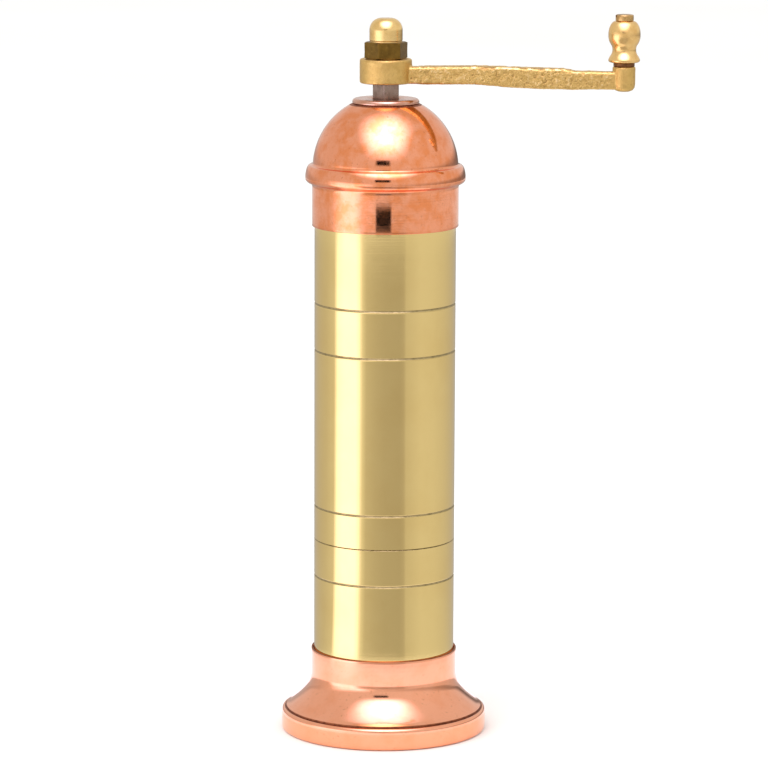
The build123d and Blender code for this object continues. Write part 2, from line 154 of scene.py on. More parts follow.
def metal(name, colour, stain, roughness, rougher, patch, stain_from=0.45, stain_to=0.75,
          speck=None, lines=0.0, line_size=0.12, centre=0.0, grain=0.0, grain_size=0.4):
    """Worn metal: stains in patches, specks, a roughness that varies, turning lines and grain."""
    made = bpy.data.materials.new(name)
    made.use_nodes = True
    tree = made.node_tree
    shader = tree.nodes["Principled BSDF"]
    shader.inputs["Metallic"].default_value = 1.0
    where = tree.nodes.new("ShaderNodeTexCoord").outputs["Object"]

    patches = noise_value(tree, where, patch, 5.0, 0.6)
    tone = blend_colour(tree, spread(tree, patches, 0, 1, stain_from, stain_to), colour, stain)
    if speck:
        specks = noise_value(tree, where, 1.1, 3.0, 0.7)
        tone = blend_colour(tree, spread(tree, specks, 0, 0.75, 0.62, 0.74), tone, speck)
    tree.links.new(tone, shader.inputs["Base Color"])

    smears = noise_value(tree, where, patch * 0.4, 6.0, 0.65)
    tree.links.new(spread(tree, smears, roughness, rougher), shader.inputs["Roughness"])

    normal = None
    if lines:
        rings = noise_value(tree, turned_place(tree, where, centre), line_size, 3.0, 0.7)
        bump = node(tree, "ShaderNodeBump", Strength=lines, Distance=0.02 * MM, Height=rings)
        normal = bump.outputs["Normal"]
    if grain:
        pits = noise_value(tree, where, grain_size, 4.0, 0.7)
        bump = node(tree, "ShaderNodeBump", Strength=grain, Distance=0.08 * MM, Height=pits)
        if normal:
            tree.links.new(normal, bump.inputs["Normal"])
        normal = bump.outputs["Normal"]
    if normal:
        tree.links.new(normal, shader.inputs["Normal"])
    return made


polished_brass = metal("polished_brass", (0.80, 0.60, 0.245), (0.76, 0.555, 0.215), 0.045, 0.085,
                       patch=22, lines=0.12)
inner_brass = metal("inner_brass", (0.50, 0.36, 0.15), (0.30, 0.20, 0.09), 0.30, 0.50, patch=7,
                    speck=(0.10, 0.06, 0.03), lines=0.5, line_size=0.3)
# dark brass for painted shade in the scribed lines and on the tubes' end edges
painted_shade_brass = metal("painted_shade_brass", (0.40, 0.31, 0.14), (0.22, 0.17, 0.07), 0.30, 0.5, patch=2)
spun_copper = metal("spun_copper", (0.93, 0.37, 0.20), (0.87, 0.285, 0.11), 0.06, 0.12,
                    patch=4.5, stain_from=0.43, stain_to=0.62, speck=(0.55, 0.19, 0.08),
                    lines=0.25, line_size=0.18)
# a lighter copy of the spun copper with milder stains; the lighter colour is painted light that
# brightens the foot
lightened_foot_copper = metal("lightened_foot_copper", (0.95, 0.42, 0.245), (0.92, 0.37, 0.195), 0.07, 0.13, patch=6,
                    speck=(0.60, 0.24, 0.11), lines=0.25, line_size=0.18)
# dark copper for painted shade: the seam at the foot's lip, the foot's groove and the ring just
# under the collar
painted_shade_copper = metal("painted_shade_copper", (0.30, 0.105, 0.045), (0.12, 0.035, 0.018), 0.4, 0.6,
                      patch=2)
inner_copper = metal("inner_copper", (0.70, 0.29, 0.16), (0.62, 0.20, 0.09), 0.32, 0.5, patch=5,
                     lines=0.8, line_size=0.5)
collar_copper = metal("collar_copper", (0.68, 0.37, 0.26), (0.55, 0.23, 0.13), 0.14, 0.25, patch=4,
                      lines=0.3, line_size=0.15)
nut_brass = metal("nut_brass", (0.90, 0.62, 0.25), (0.78, 0.48, 0.16), 0.14, 0.24, patch=3,
                  lines=0.4, line_size=0.15)
# a dark copy of the nut's brass: painted shade on the hexagon and in the bore; its specks and grain
# are the metal's own
painted_shade_hex_brass = metal("painted_shade_hex_brass", (0.20, 0.115, 0.022), (0.10, 0.055, 0.012), 0.32, 0.5, patch=2.5,
                  speck=(0.34, 0.21, 0.05), grain=0.5, grain_size=0.25)
screw_brass = metal("screw_brass", (0.62, 0.39, 0.15), (0.40, 0.23, 0.08), 0.2, 0.34, patch=1.5,
                    lines=0.4, line_size=0.15, centre=KNOB_X)
knob_brass = metal("knob_brass", (0.88, 0.58, 0.23), (0.76, 0.45, 0.15), 0.18, 0.28, patch=3,
                   lines=0.5, line_size=0.15, centre=KNOB_X)
washer_brass = metal("washer_brass", (0.22, 0.10, 0.04), (0.12, 0.05, 0.02), 0.35, 0.55, patch=1.5,
                     grain=0.4, grain_size=0.2)
shaft_steel = metal("shaft_steel", (0.36, 0.26, 0.21), (0.19, 0.125, 0.095), 0.22, 0.42, patch=2.5,
                    speck=(0.09, 0.05, 0.03), grain=0.35, grain_size=0.2)
burr_steel = metal("burr_steel", (0.20, 0.19, 0.185), (0.11, 0.095, 0.085), 0.30, 0.5, patch=3,
                   speck=(0.16, 0.09, 0.05), grain=0.7, grain_size=0.3)
spring_steel = metal("spring_steel", (0.34, 0.34, 0.36), (0.20, 0.19, 0.19), 0.2, 0.35, patch=1.5,
                     grain=0.2, grain_size=0.15)
tinned_plate = metal("tinned_plate", (0.62, 0.60, 0.57), (0.42, 0.39, 0.35), 0.25, 0.42, patch=6,
                     speck=(0.22, 0.15, 0.09), grain=0.3, grain_size=0.3)
fitting_brass = metal("fitting_brass", (0.62, 0.43, 0.16), (0.36, 0.24, 0.09), 0.22, 0.42, patch=3,
                      speck=(0.14, 0.09, 0.04), lines=0.5, line_size=0.2)
bridge_brass = metal("bridge_brass", (0.66, 0.46, 0.18), (0.40, 0.27, 0.10), 0.3, 0.5, patch=4,
                     speck=(0.18, 0.12, 0.05), grain=0.9, grain_size=0.5)


def cast_metal(name):
    """Sand-cast brass: the mesh's relief darkens its hollows and burnishes what stands proud."""
    made = metal(name, (0.68, 0.45, 0.145), (0.56, 0.35, 0.10), 0.36, 0.50, patch=3,
                 speck=(0.40, 0.23, 0.07), grain=0.8, grain_size=0.28)
    tree = made.node_tree
    shader = tree.nodes["Principled BSDF"]
    tone = shader.inputs["Base Color"].links[0].from_socket
    relief = tree.nodes.new("ShaderNodeAttribute")
    relief.attribute_name = "relief"
    hollow = spread(tree, relief.outputs["Fac"], 0.8, 0.0, -0.9, -0.15)
    tone = blend_colour(tree, hollow, tone, (0.36, 0.21, 0.07))
    proud = spread(tree, relief.outputs["Fac"], 0.0, 0.8, 0.1, 0.6)
    tone = blend_colour(tree, proud, tone, (0.92, 0.68, 0.33))
    tree.links.new(tone, shader.inputs["Base Color"])
    return made


cast_brass = cast_metal("cast_brass")


# ------------------------------------------------------------------------------ mesh helpers
def bezier(start, pull_start, pull_end, end, steps):
    """Points along a cubic curve, without its first point."""
    points = []
    for step in range(1, steps + 1):
        t = step / steps
        u = 1 - t
        weights = (u ** 3, 3 * u * u * t, 3 * u * t * t, t ** 3)
        corners = (start, pull_start, pull_end, end)
        points.append(tuple(sum(w * c[axis] for w, c in zip(weights, corners)) for axis in (0, 1)))
    return points


def curve(rows, pull_start, pull_end, end, steps):
    """Carries an outline on from its last point along a cubic curve."""
    rows.extend(bezier(rows[-1], pull_start, pull_end, end, steps))


def arc(centre, radius, start, end, steps):
    """Points of an arc between two angles in degrees, both ends included."""
    points = []
    for step in range(steps + 1):
        angle = radians(start + (end - start) * step / steps)
        points.append((centre[0] + radius * cos(angle), centre[1] + radius * sin(angle)))
    return points


def ringed(rows, centre=0.0, segments=ROUND):
    """Closed bmesh through rings round an upright axis at x = centre. Each row is (radius,
    height), where the radius may be a function of the angle; radius 0 closes an end."""
    shape = bmesh.new()
    rings = []
    for radius, height in rows:
        if radius == 0:
            rings.append([shape.verts.new((centre * MM, 0, height * MM))])
            continue
        ring = []
        for step in range(segments):
            angle = 2 * pi * step / segments
            reach = radius(angle) if callable(radius) else radius
            ring.append(shape.verts.new(((centre + reach * cos(angle)) * MM,
                                         reach * sin(angle) * MM, height * MM)))
        rings.append(ring)
    for near, far in zip(rings, rings[1:] + rings[:1]):
        for step in range(segments):
            after = step + 1
            corners = (near[step % len(near)], near[after % len(near)],
                       far[after % len(far)], far[step % len(far)])
            corners = list(dict.fromkeys(corners))
            if len(corners) > 2:
                shape.faces.new(corners)
    bmesh.ops.recalc_face_normals(shape, faces=shape.faces)
    return shape


def bridged(shape, rings):
    """Walls between rings of equally many corners, and a face over each end."""
    for near, far in zip(rings, rings[1:]):
        for step in range(len(near)):
            after = (step + 1) % len(near)
            shape.faces.new((near[step], near[after], far[after], far[step]))
    shape.faces.new(rings[0])
    shape.faces.new(list(reversed(rings[-1])))
    bmesh.ops.recalc_face_normals(shape, faces=shape.faces)
    return shape


def to_object(name, shape):
    mesh = bpy.data.meshes.new(name)
    shape.to_mesh(mesh)
    shape.free()
    made = bpy.data.objects.new(name, mesh)
    bpy.context.scene.collection.objects.link(made)
    return made


def apply_modifiers(obj):
    graph = bpy.context.evaluated_depsgraph_get()
    mesh = bpy.data.meshes.new_from_object(obj.evaluated_get(graph))
    obj.modifiers.clear()
    obj.data = mesh
    mesh.name = obj.name


def cut(obj, tool):
    """Takes the tool's shape away from obj."""
    cutter = to_object("cutter", tool)
    modifier = obj.modifiers.new("cut", "BOOLEAN")
    modifier.operation = "DIFFERENCE"
    modifier.solver = "EXACT"
    modifier.object = cutter
    bpy.context.view_layer.update()
    apply_modifiers(obj)
    bpy.data.objects.remove(cutter)


def smooth(obj, crease, bevel=0.0):
    """Smooth shading with creases over an angle, and edges broken by a small bevel."""
    obj.data.shade_smooth()
    obj.data.set_sharp_from_angle(angle=radians(crease))
    if bevel:
        modifier = obj.modifiers.new("edges", "BEVEL")
        modifier.width = bevel * MM
        modifier.segments = 3
        modifier.limit_method = "ANGLE"
        modifier.angle_limit = radians(crease)
        modifier.harden_normals = True


def paint(obj, materials, choose=None):
    """Gives obj its materials; choose returns a face's material number from its middle in mm."""
    obj.data.materials.clear()
    for material in materials:
        obj.data.materials.append(material)
    for face in obj.data.polygons:
        face.material_index = choose(face.center / MM) if choose else 0


def place(obj, body, slot, *nodes):
    """Puts obj on its body and hides the CAD nodes whose place it takes. slot is not used."""
    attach(obj, body)
    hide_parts(*nodes)


def slot_tool(width, depth, face, centre, turn, length=14.0):
    """Cutter for a screwdriver slot: a bar that reaches depth above and below a screw's face."""
    shape = bmesh.new()
    bmesh.ops.create_cube(shape, size=1)
    angle = radians(turn)
    for vert in shape.verts:
        x, y = vert.co.x * length, vert.co.y * width
        vert.co = Vector(((centre + x * cos(angle) - y * sin(angle)) * MM,
                          (x * sin(angle) + y * cos(angle)) * MM,
                          (face + vert.co.z * 2 * depth) * MM))
    return shape


def polygon_reach(sides, flats, turn=0.0, limit=None):
    """Radius of a regular polygon at an angle; limit rounds its corners off."""
    def reach(angle):
        step = 2 * pi / sides
        off = (angle - radians(turn) + step / 2) % step - step / 2
        value = flats / 2 / cos(off)
        return min(value, limit) if limit else value
    return reach


def thread_rows(core, crest, pitch, low, high):
    """Rows of a screw thread from low to high, fading out at both ends."""
    def reach_at(height):
        fade = min(1.0, (height - low) / pitch, (high - height) / pitch)

        def reach(angle):
            phase = (height / pitch - angle / (2 * pi)) % 1.0
            return core + (crest - core) * (1 - abs(2 * phase - 1)) * max(fade, 0.0)
        return reach
    count = round((high - low) / pitch * 10)
    heights = [low + (high - low) * step / count for step in range(count + 1)]
    return [(reach_at(height), height) for height in heights]


# ------------------------------------------------------------------------------ foot and tubes
SCRIBED_LINES = (50.7, 73.5, 123.9, 139.0)
LINE_HALF_WIDTH = 0.34
LINE_MARGIN = 0.4          # keeps the shading of the straight walls true beside a line
LINE_PROFILE = (
    # depth in the wall and distance from the middle, for the lower half of a line
    (0.0, LINE_HALF_WIDTH + LINE_MARGIN),
    (0.0, LINE_HALF_WIDTH + 0.12),
    (0.025, LINE_HALF_WIDTH),
    (0.2, 0.06),
)


def make_foot():
    rim_r, base, lip = round_size("foot_shell")
    neck_r = TUBE_R + 0.85
    groove_r = rim_r - 1.5
    rows = [(TUBE_R + 0.03, lip - 0.4), (TUBE_R + 0.25, lip - 0.05), (TUBE_R + 0.45, lip)]
    rows += arc((neck_r - 0.3, lip - 0.3), 0.3, 90, 0, 5)
    rows += [(neck_r, lip - 0.8), (neck_r, 20.0), (neck_r, 19.0)]
    curve(rows, (neck_r, 18.1), (neck_r + 0.1, 17.3), (neck_r + 0.32, 16.4), 10)
    curve(rows, (neck_r + 0.46, 15.83), (neck_r + 0.66, 15.1), (neck_r + 0.95, 14.5), 10)
    curve(rows, (neck_r + 1.7, 12.95), (27.0, 10.7), (30.0, 8.45), 28)
    curve(rows, (30.6, 8.0), (30.95, 7.85), (groove_r, 7.6), 10)
    rows += [(groove_r + 0.05, 7.4), (groove_r, 7.05), (rim_r - 0.95, 6.95)]
    curve(rows, (rim_r - 0.45, 6.9), (rim_r - 0.05, 6.55), (rim_r, 5.75), 10)
    rows += [(rim_r, 5.2), (rim_r, 2.0)]
    rows += bezier((rim_r, 1.2), (rim_r - 0.02, 0.45), (rim_r - 0.25, 0.1), (rim_r - 0.8, base), 8)
    rows += [(29.95, base), (29.95, 1.0), (rim_r - 1.05, 1.05), (rim_r - 1.05, 5.6),
             (30.6, 6.3)]
    curve(rows, (27.4, 8.3), (24.4, 10.4), (23.0, 15.2), 10)
    rows += [(TUBE_R + 0.03, 16.6)]
    foot = to_object("foot", ringed(rows))

    def choose(middle):
        reach = hypot(middle.x, middle.y)
        in_groove = 6.94 < middle.z < 7.6 and groove_r - 0.1 < reach < rim_r - 0.8
        # painted shade: the lip's seam with the tube and the groove are painted dark
        if in_groove or middle.z > lip - 0.2:
            return 1
        return 2 if reach < TUBE_R + 0.5 and middle.z < lip - 0.5 else 0
    smooth(foot, 40)
    paint(foot, (lightened_foot_copper, painted_shade_copper, inner_copper), choose)
    place(foot, "cup", "spun_copper", "foot_shell")


def make_tube(name, node_name, body):
    """Polished tube with its scribed lines, broken edges and a duller inside; painted shade darkens
    the lines and the end edges.
    """
    radius, low, high = round_size(node_name)
    bore = radius - 1.0
    edge = 0.2
    rows = [(bore, low), (radius - edge, low), (radius, low + edge),
            (radius, low + edge + LINE_MARGIN)]
    for line in SCRIBED_LINES:
        if low < line < high:
            rows += [(radius - depth, line - away) for depth, away in LINE_PROFILE]
            rows += [(radius - depth, line + away) for depth, away in reversed(LINE_PROFILE)]
    rows += [(radius, high - edge - LINE_MARGIN), (radius, high - edge), (radius - edge, high)]
    rows += [(bore + edge, high), (bore, high - edge)]
    tube = to_object(name, ringed(rows))

    def choose(middle):
        if hypot(middle.x, middle.y) < radius - 0.3:
            return 1
        # the scribed lines and the end edges take the painted shade
        near = any(abs(middle.z - line) < LINE_HALF_WIDTH - 0.02 for line in SCRIBED_LINES)
        return 2 if near or middle.z < low + edge or middle.z > high - edge else 0
    smooth(tube, 25)
    paint(tube, (polished_brass, inner_brass, painted_shade_brass), choose)
    place(tube, body, "polished_brass", node_name)


# ------------------------------------------------------------------------------ cap and collar
def make_cap():
    bead_r, low, shelf = round_size("cap_shell")
    skirt_r = bead_r - 2.2
    bore = TUBE_R + 0.07
    dome_r = 23.15
    dome_z = 181.9
    groove_z = 183.45
    shelf_r = sqrt(dome_r ** 2 - (shelf - dome_z) ** 2)
    start = atan2(groove_z + 0.6 - dome_z, dome_r) * 180 / pi
    stop = atan2(shelf - dome_z, shelf_r) * 180 / pi
    rows = [(bore, low + 0.15), (bore + 0.15, low), (skirt_r - 0.2, low)]
    rows += arc((skirt_r - 0.22, low + 0.22), 0.22, -90, 0, 5)
    rows += [(skirt_r, low + 0.8), (skirt_r, 175.2), (skirt_r, 176.0)]
    curve(rows, (skirt_r, 176.7), (skirt_r + 0.2, 177.0), (skirt_r + 0.75, 177.2), 12)
    curve(rows, (bead_r - 0.65, 177.5), (bead_r, 178.0), (bead_r, 178.8), 12)
    curve(rows, (bead_r, 179.8), (bead_r - 0.15, 180.7), (bead_r - 0.4, 181.6), 14)
    curve(rows, (bead_r - 0.7, 182.5), (bead_r - 1.0, 182.9), (bead_r - 1.7, 183.0), 12)
    curve(rows, (bead_r - 2.1, 183.1), (dome_r - 0.05, groove_z - 0.1),
          (dome_r - 0.08, groove_z + 0.1), 6)
    rows += arc((0, dome_z), dome_r, start, stop, 56)
    rows += [(shelf_r - 1.0, shelf), (6.0, shelf), (6.0, shelf - 1.2)]
    inner_r = dome_r - 1.25
    rows += list(reversed(arc((0, dome_z), inner_r, 0, 60, 24)))
    rows += [(inner_r, 180.1), (bore, 180.05)]
    cap = to_object("cap", ringed(rows))

    def choose(middle):
        reach = hypot(middle.x, middle.y)
        below = middle.z < dome_z and reach < skirt_r - 0.35
        above = middle.z >= dome_z and hypot(reach, middle.z - dome_z) < dome_r - 0.6
        if below or above and reach > 6.5 and middle.z < shelf - 0.5:
            return 1
        # a thin ring of painted shadow on the dome just under the collar
        return 2 if middle.z > shelf - 0.45 else 0
    smooth(cap, 38)
    paint(cap, (spun_copper, inner_copper, painted_shade_copper), choose)
    place(cap, "cap", "spun_copper", "cap_shell")


def make_collar():
    radius, low, high = round_size("cap_collar")
    shelf = low + 1.2
    hole = 4.5
    rows = [(hole, low), (5.98, low), (5.98, shelf), (radius - 0.7, shelf),
            (radius - 0.35, shelf + 0.05)]
    curve(rows, (radius - 0.05, shelf + 0.15), (radius, shelf + 0.3), (radius, shelf + 0.6), 6)
    curve(rows, (radius, high - 0.4), (radius - 0.5, high), (radius - 1.4, high), 10)
    rows += [(7.2, high - 0.12), (hole + 0.35, high - 0.15), (hole, high - 0.45)]
    collar = to_object("collar", ringed(rows, segments=160))
    smooth(collar, 40)
    paint(collar, (collar_copper,))
    place(collar, "cap", "spun_copper", "cap_collar")


# ------------------------------------------------------------------------------ shaft and nut
def make_shaft():
    """Square bar with worn corners, a smaller square for the crank and two threaded ends."""
    half_diagonal, low, high = round_size("drive_shaft")
    shoulder = round(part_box("crank_arm")[0][2] / MM + 1.7, 1)
    burr_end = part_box("inner_burr")[0][2] / MM + 0.3
    neck_top = 216.0
    tip = 2.5
    root = tip - 0.42
    bar = polygon_reach(4, SHAFT_SQUARE, SQUARE_TURN, half_diagonal - 0.1)
    bevelled = polygon_reach(4, SHAFT_SQUARE - 0.3, SQUARE_TURN, half_diagonal - 0.35)
    neck = polygon_reach(4, NECK_SQUARE, SQUARE_TURN, 3.3)
    rows = [(0, low), (tip - 0.6, low), (tip - 0.35, low + 0.3)]
    rows += thread_rows(root, tip, SHAFT_PITCH, low + 0.5, burr_end - 0.2)
    rows += [(root, burr_end), (bar, burr_end), (bar, shoulder - 0.15), (bevelled, shoulder),
             (neck, shoulder), (neck, neck_top), (root, neck_top)]
    rows += thread_rows(root, tip, SHAFT_PITCH, neck_top + 0.1, high - 0.4)
    rows += [(tip - 0.6, high - 0.2), (tip - 0.9, high), (0, high)]
    shaft = to_object("shaft", ringed(rows, segments=SMALL_ROUND))
    smooth(shaft, 28)
    paint(shaft, (shaft_steel,))
    place(shaft, "drive", "shaft_steel", "drive_shaft")


def make_nut():
    """Hexagon with chamfered corners under a polished dome, and a threaded bore."""
    low, high = round_size("acorn_nut")[1:]
    flats = 12.0
    corner_r = flats / sqrt(3)
    foot_r = 5.95
    top_r = 6.35
    hex_top = 221.9
    turn = 47.0
    bore = 2.55
    dome_r = 5.25

    def hexagon(limit):
        return polygon_reach(6, flats, turn, limit)
    rows = [(bore + 0.4, low)]
    steps = 6
    rows += [(hexagon(foot_r + (corner_r - foot_r) * s / steps), low + 0.4 * s / steps)
             for s in range(steps + 1)]
    rows += [(hexagon(corner_r - 0.06), 219.0)]
    rows += [(hexagon(corner_r - (corner_r - top_r) * s / steps), hex_top - 0.25 + 0.25 * s / steps)
             for s in range(steps + 1)]
    rows += [(dome_r - 0.15, hex_top + 0.02), (dome_r - 0.15, hex_top + 0.35),
             (dome_r, hex_top + 0.6), (dome_r, 225.6)]
    curve(rows, (dome_r, 227.7), (dome_r - 1.5, high - 0.25), (dome_r - 3.1, high - 0.03), 16)
    rows += [(1.0, high), (0, high), (0, 227.0), (bore - 0.3, 226.6)]
    rows += list(reversed(thread_rows(bore, bore + 0.3, SHAFT_PITCH, low + 0.4, 226.4)))
    nut = to_object("nut", ringed(rows, segments=SMALL_ROUND * 2))

    def choose(middle):
        inside = hypot(middle.x, middle.y) < bore + 0.4 and middle.z < 227.2
        # the hexagon and the bore take the painted shade
        return 1 if inside or middle.z < hex_top + 0.03 else 0
    smooth(nut, 24)
    paint(nut, (nut_brass, painted_shade_hex_brass), choose)
    place(nut, "nut", "dull_brass", "acorn_nut")


# ------------------------------------------------------------------------------ crank and knob
ARM_STATIONS = (
    # distance from the shaft, bottom, top, half width
    (6.0, 208.9, 214.2, 3.3),
    (14.0, 208.8, 214.4, 3.0),
    (30.0, 209.0, 214.7, 2.9),
    (37.0, 208.3, 214.6, 2.9),
    (47.0, 207.9, 214.3, 2.8),
    (56.0, 207.8, 214.3, 2.8),
    (60.0, 207.8, 213.6, 2.7),
    (67.0, 207.9, 213.5, 2.7),
    (76.0, 208.0, 213.5, 2.6),
)


def arm_shape():
    """Bar through the arm's stations, with rounded corners."""
    shape = bmesh.new()
    corner = 0.75
    rings = []
    for distance, low, high, half in ARM_STATIONS:
        ring = []
        for quarter in range(4):
            y = (half - corner) * (1 if quarter in (0, 3) else -1)
            z = high - corner if quarter in (0, 1) else low + corner
            for step in range(4):
                angle = radians(90 * quarter + 30 * step)
                ring.append(shape.verts.new((distance * MM, (y + corner * cos(angle)) * MM,
                                             (z + corner * sin(angle)) * MM)))
        rings.append(ring)
    return bridged(shape, rings)


POST_R = 3.6


def crank_blank():
    """Boss, arm and knob post, melted into one smooth piece."""
    boss_r, low, top = round_size("crank_arm")
    under = 208.9
    post_top = 215.15
    hole = polygon_reach(4, NECK_SQUARE, SQUARE_TURN)
    boss = [(hole, under), (boss_r - 0.7, under)]
    curve(boss, (boss_r - 0.1, under), (boss_r, under + 0.2), (boss_r, under + 0.9), 5)
    boss += bezier((boss_r, top - 0.8), (boss_r, top - 0.2), (boss_r - 0.2, top),
                   (boss_r - 0.7, top), 5)
    boss += [(hole, top)]
    post = [(0, low), (1.6, low + 0.05), (2.8, low + 0.5), (3.4, low + 1.3), (POST_R, low + 2.4),
            (POST_R, 211.0), (POST_R, post_top - 0.25), (POST_R - 0.3, post_top), (0, post_top)]
    joined = bmesh.new()
    for shape in (ringed(boss, segments=SMALL_ROUND), arm_shape(),
                  ringed(post, KNOB_X, SMALL_ROUND)):
        mesh = bpy.data.meshes.new("blank")
        shape.to_mesh(mesh)
        shape.free()
        joined.from_mesh(mesh)
        bpy.data.meshes.remove(mesh)
    # melted in millimetres; the relief brings it back to metres
    bmesh.ops.scale(joined, vec=(1 / MM, 1 / MM, 1 / MM), verts=joined.verts)
    crank = to_object("crank", joined)
    remesh = crank.modifiers.new("melt", "REMESH")
    remesh.mode = "VOXEL"
    remesh.voxel_size = 0.2
    soften = crank.modifiers.new("soften", "SMOOTH")
    soften.factor = 0.5
    soften.iterations = 5
    bpy.context.view_layer.update()
    apply_modifiers(crank)
    return crank


def cast_relief(spot):
    """Fine relief of the casting at a spot: lumps, grain, pits and the flash along the arm."""
    lumps = noise.noise(spot * 0.8 + Vector((7, 3, 1))) * 0.075
    grain = noise.noise(spot * 2.4 + Vector((1, 9, 4))) * 0.075
    pits = min(0.0, noise.noise(spot * 1.6 + Vector((5, 5, 5))) + 0.3) * 0.36
    on_flash = spot.z > 213.7 and 27 < spot.x < 60
    flash = noise.noise(Vector((spot.x * 0.5, 4, spot.y * 0.6))) * 0.3 if on_flash else 0.0
    return lumps + grain + pits + flash


def make_crank():
    """Rough casting, calmer on boss and post; its relief also steers the material's colour."""
    crank = crank_blank()
    boss_reach = round_size("crank_arm")[0] + 0.4
    post_start = KNOB_X - POST_R - 0.3
    height = 0.8
    contrast = 8
    relief = crank.data.attributes.new("relief", "FLOAT", "POINT")
    starts = [(vert.co.copy(), vert.normal.copy()) for vert in crank.data.vertices]
    for index, (spot, outward) in enumerate(starts):
        calm = hypot(spot.x, spot.y) < boss_reach or spot.x > post_start
        share = 0.4 if calm else 1.0
        broad = noise.noise(spot * 0.22) * 0.16
        fine = cast_relief(spot)
        relief.data[index].value = max(-1.0, min(1.0, fine * contrast * share))
        crank.data.vertices[index].co = (spot + outward * (broad + fine) * share * height) * MM
    smooth(crank, 60)
    paint(crank, (cast_brass,))
    place(crank, "crank", "cast_brass", "crank_arm")


def make_knob():
    low, high = round_size("crank_knob")[1:]
    bore = 2.06
    ball_r = 5.05
    rows = [(bore, low), (4.2, low), (4.6, low + 0.12)]
    curve(rows, (4.95, low + 0.3), (5.0, low + 0.6), (4.95, low + 0.85), 6)
    curve(rows, (4.75, low + 1.9), (3.8, low + 2.4), (3.72, low + 3.8), 14)
    curve(rows, (3.7, low + 4.6), (3.85, low + 5.1), (4.2, low + 5.6), 8)
    curve(rows, (4.9, low + 6.6), (ball_r, low + 7.6), (ball_r, low + 8.7), 12)
    curve(rows, (ball_r, low + 11.0), (4.1, high - 0.15), (2.95, high), 14)
    rows += [(bore, high)]
    knob = to_object("knob", ringed(rows, KNOB_X, SMALL_ROUND))
    smooth(knob, 38)
    paint(knob, (knob_brass,))
    place(knob, "knob", "polished_brass", "crank_knob")


def make_knob_screw():
    radius, low, high = round_size("knob_screw")
    head = round_size("crank_knob")[2] + 0.05
    rows = [(0, low), (2.0, low), (2.0, head), (radius - 0.15, head), (radius, head + 0.15),
            (radius, high - 0.45)]
    curve(rows, (radius, high - 0.15), (radius - 0.3, high - 0.04), (radius - 1.0, high), 6)
    rows += [(0, high)]
    screw = to_object("knob_screw_slotted", ringed(rows, KNOB_X, SMALL_ROUND))
    cut(screw, slot_tool(0.8, 0.9, high, KNOB_X, 25))
    smooth(screw, 30, 0.05)
    paint(screw, (screw_brass,))
    place(screw, "crank", "dull_brass", "knob_screw")


def make_knob_washer():
    radius, low, high = round_size("knob_washer")
    rows = [(2.02, low), (radius - 0.2, low), (radius, low + 0.2), (radius, high - 0.2),
            (radius - 0.2, high), (2.02, high)]
    washer = to_object("washer_under_knob", ringed(rows, KNOB_X, SMALL_ROUND))
    smooth(washer, 30)
    paint(washer, (washer_brass,))
    place(washer, "crank", "dull_brass", "knob_washer")


# ------------------------------------------------------------------------------ inside
def make_adjusting_screw():
    """Thumb screw with a serrated head, a slot and a real thread."""
    radius, low, high = round_size("adjusting_screw")
    head_top = low + 4.8
    teeth = 30
    tooth_depth = 0.45

    def serrated(inset):
        def reach(angle):
            phase = (angle * teeth / (2 * pi)) % 1.0
            return radius - inset - tooth_depth * abs(2 * phase - 1)
        return reach
    rows = [(0, low), (serrated(1.0), low), (serrated(0.0), low + 1.0),
            (serrated(0.0), head_top - 1), (serrated(1.0), head_top), (3.4, head_top),
            (3.4, head_top + 0.4)]
    rows += thread_rows(3.35, 4.0, ADJUSTER_PITCH, head_top + 0.5, high - 0.3)
    seat = high - 1.24
    rows += [(3.1, high), (2.6, high), (2.6, seat), (0, seat)]
    screw = to_object("thumb_screw", ringed(rows, segments=240))
    cut(screw, slot_tool(1.4, 1.2, low, 0, 20, 30))
    smooth(screw, 24)
    paint(screw, (fitting_brass,))
    place(screw, "adjuster", "dull_brass", "adjusting_screw")


def make_spring():
    """Compression spring with closed end coils."""
    outer, low, high = round_size("pressure_spring")
    wire = 0.5
    coil_r = outer - wire
    turns = 7
    per_turn = 48
    sides = 12
    shape = bmesh.new()
    rings = []
    for step in range(turns * per_turn + 1):
        share = step / (turns * per_turn)
        angle = 2 * pi * turns * share
        ease = share * share * (3 - 2 * share)
        height = low + wire + (high - low - 2 * wire) * (0.25 * share + 0.75 * ease)
        middle = Vector((coil_r * cos(angle), coil_r * sin(angle), height))
        outward = Vector((cos(angle), sin(angle), 0))
        ring = []
        for side in range(sides):
            turn = 2 * pi * side / sides
            point = middle + outward * wire * cos(turn) + Vector((0, 0, wire * sin(turn)))
            ring.append(shape.verts.new(point * MM))
        rings.append(ring)
    spring = to_object("coil_spring", bridged(shape, rings))
    smooth(spring, 50)
    paint(spring, (spring_steel,))
    place(spring, "barrel", "spring_steel", "pressure_spring")
    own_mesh(spring)


FRAME_FINISHES = {
    "base_plate": bridge_brass, "cup_floor": tinned_plate, "joint_sleeve": inner_brass,
    "outer_burr": burr_steel, "inner_burr": burr_steel, "lower_bridge": bridge_brass,
    "bridge_screws": shaft_steel, "top_bridge": tinned_plate, "bridge_rivets": fitting_brass,
    "thrust_ball": spring_steel, "burr_washer": shaft_steel, "burr_nut": shaft_steel,
    "cross_pins": shaft_steel, "spring_collar": fitting_brass, "shaft_bush": fitting_brass,
}


def finish_frame_nodes():
    """Materials for the CAD nodes that stay as they are."""
    for name, material in FRAME_FINISHES.items():
        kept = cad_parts[name]
        for position in range(max(1, len(kept.material_slots))):
            if position < len(kept.material_slots):
                kept.material_slots[position].material = material
            else:
                kept.data.materials.append(material)


